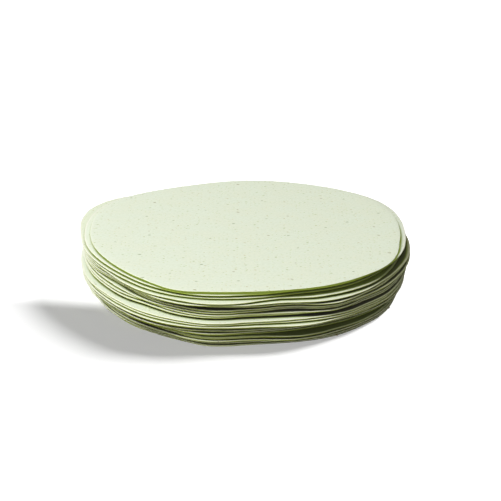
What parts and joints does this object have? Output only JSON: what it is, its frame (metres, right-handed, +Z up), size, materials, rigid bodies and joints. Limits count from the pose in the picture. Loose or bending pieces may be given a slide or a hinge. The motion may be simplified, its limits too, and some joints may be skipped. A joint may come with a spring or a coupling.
{
  "type": "stack of papadums",
  "caption": "Stack of raw papadums: thin, round, pale green sheets of dried dough with fine specks, lying loosely one on another.",
  "frame": {"origin": "centre of the stack's outline, at the level of the surface it lies on", "axes": "+Z up through the stack; -Y towards the side that the picture shows, +X to its right"},
  "size_m": [0.1848, 0.1828, 0.03],
  "materials": {
    "raw_dough": "dry and dull, very slightly waxy, with fine green and brown flecks"
  },
  "bodies": {
    "root": {"papadum_01": "raw_dough", "papadum_02": "raw_dough", "papadum_03": "raw_dough", "papadum_04": "raw_dough", "papadum_05": "raw_dough", "papadum_06": "raw_dough", "papadum_07": "raw_dough", "papadum_08": "raw_dough", "papadum_09": "raw_dough", "papadum_10": "raw_dough", "papadum_11": "raw_dough", "papadum_12": "raw_dough", "papadum_13": "raw_dough", "papadum_14": "raw_dough", "papadum_15": "raw_dough", "papadum_16": "raw_dough", "papadum_17": "raw_dough", "papadum_18": "raw_dough", "papadum_19": "raw_dough", "papadum_20": "raw_dough", "papadum_21": "raw_dough", "papadum_22": "raw_dough", "papadum_23": "raw_dough", "papadum_24": "raw_dough"}
  },
  "joints": []
}
